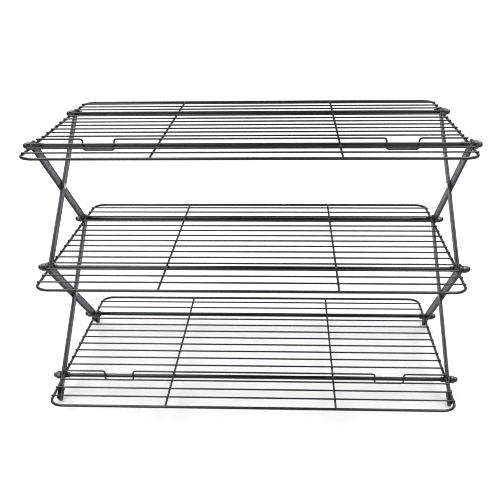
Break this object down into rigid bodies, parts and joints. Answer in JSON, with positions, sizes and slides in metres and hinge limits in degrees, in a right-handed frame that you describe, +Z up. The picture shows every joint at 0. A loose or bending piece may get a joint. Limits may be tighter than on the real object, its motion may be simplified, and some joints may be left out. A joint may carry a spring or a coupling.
{
  "type": "cooling rack",
  "caption": "Folding three-tier wire cooling rack: stacked rectangular wire shelves on scissor legs of flat bar, joined by cross rods with domed nuts.",
  "frame": {"origin": "on the surface that the rack stands on, under the middle of the shelves", "axes": "+Z up, +X to the right along the shelves' long side, -Y to the front, where the front rods run forward as it folds"},
  "size_m": [0.439, 0.2566, 0.2842],
  "materials": {
    "coated_wire": "dark non-stick coating, satin",
    "rod_steel": "dark coating, satin",
    "bar_steel": "grey coating, satin, lighter where it rubs",
    "dark_zinc": "dark zinc plating, semi-bright",
    "rubber": "matt black"
  },
  "bodies": {
    "bottom_shelf": {"bottom_shelf_grid": "coated_wire", "bottom_catch_wire": "coated_wire", "bottom_hinge_barrel_left": "coated_wire", "bottom_hinge_barrel_right": "coated_wire", "bottom_rear_rod": "rod_steel", "bottom_rear_washer_left": "dark_zinc", "bottom_rear_washer_right": "dark_zinc", "bottom_rear_cap_nut_left": "dark_zinc", "bottom_rear_cap_nut_right": "dark_zinc"},
    "lower_outer_legs": {"lower_outer_leg_left": "bar_steel", "lower_outer_leg_right": "bar_steel", "lower_rivet_left": "dark_zinc", "lower_rivet_right": "dark_zinc", "rear_foot_cap_left": "rubber", "rear_foot_cap_right": "rubber", "middle_front_rod": "rod_steel", "middle_front_washer_left": "dark_zinc", "middle_front_washer_right": "dark_zinc", "middle_front_cap_nut_left": "dark_zinc", "middle_front_cap_nut_right": "dark_zinc"},
    "lower_inner_legs": {"lower_inner_leg_left": "bar_steel", "lower_inner_leg_right": "bar_steel", "front_foot_cap_left": "rubber", "front_foot_cap_right": "rubber", "bottom_front_rod": "rod_steel", "bottom_front_washer_left": "dark_zinc", "bottom_front_washer_right": "dark_zinc", "bottom_front_cap_nut_left": "dark_zinc", "bottom_front_cap_nut_right": "dark_zinc"},
    "middle_shelf": {"middle_shelf_grid": "coated_wire", "middle_hinge_barrel_left": "coated_wire", "middle_hinge_barrel_right": "coated_wire", "middle_rear_rod": "rod_steel", "middle_rear_washer_left": "dark_zinc", "middle_rear_washer_right": "dark_zinc", "middle_rear_cap_nut_left": "dark_zinc", "middle_rear_cap_nut_right": "dark_zinc"},
    "upper_outer_legs": {"upper_outer_leg_left": "bar_steel", "upper_outer_leg_right": "bar_steel", "upper_rivet_left": "dark_zinc", "upper_rivet_right": "dark_zinc", "top_front_rod": "rod_steel", "top_front_washer_left": "dark_zinc", "top_front_washer_right": "dark_zinc", "top_front_cap_nut_left": "dark_zinc", "top_front_cap_nut_right": "dark_zinc"},
    "upper_inner_legs": {"upper_inner_leg_left": "bar_steel", "upper_inner_leg_right": "bar_steel"},
    "top_rear_rod": {"top_rear_rod": "rod_steel", "top_rear_washer_left": "dark_zinc", "top_rear_washer_right": "dark_zinc", "top_rear_cap_nut_left": "dark_zinc", "top_rear_cap_nut_right": "dark_zinc"},
    "top_shelf": {"top_shelf_grid": "coated_wire", "top_catch_wire": "coated_wire", "top_hinge_barrel_left": "coated_wire", "top_hinge_barrel_right": "coated_wire"}
  },
  "joints": [
    {"name": "fold", "type": "hinge", "parent": "bottom_shelf", "child": "lower_outer_legs", "pos_m": [0, 0.0885, 0.02119], "axis": [1, 0, 0], "range_deg": [0, 36]},
    {"name": "lower_crossing", "type": "hinge", "parent": "lower_outer_legs", "child": "lower_inner_legs", "pos_m": [0, 0.01405, 0.08494], "axis": [1, 0, 0], "range_deg": [-73, 1]},
    {"name": "middle_shelf_level", "type": "hinge", "parent": "lower_inner_legs", "child": "middle_shelf", "pos_m": [0, 0.0885, 0.14869], "axis": [1, 0, 0], "range_deg": [-1, 37]},
    {"name": "upper_fold", "type": "hinge", "parent": "middle_shelf", "child": "upper_outer_legs", "pos_m": [0, 0.0885, 0.14869], "axis": [1, 0, 0], "range_deg": [-1, 37]},
    {"name": "upper_crossing", "type": "hinge", "parent": "upper_outer_legs", "child": "upper_inner_legs", "pos_m": [0, 0.01405, 0.21244], "axis": [1, 0, 0], "range_deg": [-73, 1]},
    {"name": "top_rod_level", "type": "hinge", "parent": "upper_inner_legs", "child": "top_rear_rod", "pos_m": [0, 0.0885, 0.27619], "axis": [1, 0, 0], "range_deg": [-1, 37]},
    {"name": "top_shelf_lift", "type": "hinge", "parent": "top_rear_rod", "child": "top_shelf", "pos_m": [0, 0.0885, 0.27619], "axis": [1, 0, 0], "range_deg": [-16, 0]}
  ],
  "couplings": [
    {"joint": "lower_crossing", "follows": "fold", "ratio": -2},
    {"joint": "middle_shelf_level", "follows": "fold", "ratio": 1},
    {"joint": "upper_fold", "follows": "fold", "ratio": 1},
    {"joint": "upper_crossing", "follows": "fold", "ratio": -2},
    {"joint": "top_rod_level", "follows": "fold", "ratio": 1}
  ]
}
